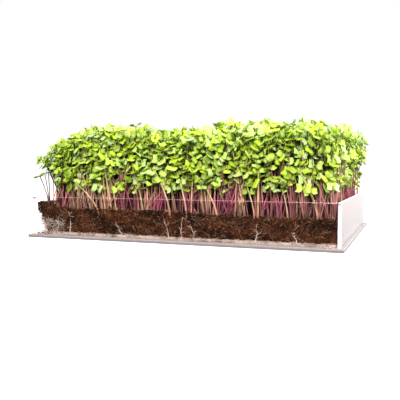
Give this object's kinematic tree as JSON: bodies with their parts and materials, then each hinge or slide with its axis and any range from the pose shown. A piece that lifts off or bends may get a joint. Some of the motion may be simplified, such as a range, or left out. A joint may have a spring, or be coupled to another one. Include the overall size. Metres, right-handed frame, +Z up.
{
  "type": "microgreens tray",
  "caption": "Low clear acrylic tray of dark coir soil over a root mat, densely grown with pink-stemmed sprouts that end in pairs of heart-shaped yellow-green seed leaves.",
  "frame": {"origin": "centre of the base plate's underside, on the surface that the tray stands on", "axes": "+Z up; +X along the long front wall, to the viewer's right; +Y from the front wall to the back"},
  "size_m": [0.3182, 0.2518, 0.1203],
  "materials": {
    "clear_acrylic": "polished",
    "roots": "matte",
    "soil": "matte",
    "sprouts": "satin"
  },
  "bodies": {
    "root": {"base_plate": "clear_acrylic", "front_wall": "clear_acrylic", "back_wall": "clear_acrylic", "left_wall": "clear_acrylic", "right_wall": "clear_acrylic", "root_mat": "roots", "soil": "soil", "sprouts_1_1": "sprouts", "sprouts_1_2": "sprouts", "sprouts_1_3": "sprouts", "sprouts_1_4": "sprouts", "sprouts_1_5": "sprouts", "sprouts_1_6": "sprouts", "sprouts_1_7": "sprouts", "sprouts_1_8": "sprouts", "sprouts_2_1": "sprouts", "sprouts_2_2": "sprouts", "sprouts_2_3": "sprouts", "sprouts_2_4": "sprouts", "sprouts_2_5": "sprouts", "sprouts_2_6": "sprouts", "sprouts_2_7": "sprouts", "sprouts_2_8": "sprouts", "sprouts_3_1": "sprouts", "sprouts_3_2": "sprouts", "sprouts_3_3": "sprouts", "sprouts_3_4": "sprouts", "sprouts_3_5": "sprouts", "sprouts_3_6": "sprouts", "sprouts_3_7": "sprouts", "sprouts_3_8": "sprouts", "sprouts_4_1": "sprouts", "sprouts_4_2": "sprouts", "sprouts_4_3": "sprouts", "sprouts_4_4": "sprouts", "sprouts_4_5": "sprouts", "sprouts_4_6": "sprouts", "sprouts_4_7": "sprouts", "sprouts_4_8": "sprouts", "sprouts_5_1": "sprouts", "sprouts_5_2": "sprouts", "sprouts_5_3": "sprouts", "sprouts_5_4": "sprouts", "sprouts_5_5": "sprouts", "sprouts_5_6": "sprouts", "sprouts_5_7": "sprouts", "sprouts_5_8": "sprouts", "sprouts_6_1": "sprouts", "sprouts_6_2": "sprouts", "sprouts_6_3": "sprouts", "sprouts_6_4": "sprouts", "sprouts_6_5": "sprouts", "sprouts_6_6": "sprouts", "sprouts_6_7": "sprouts", "sprouts_6_8": "sprouts"}
  },
  "joints": []
}
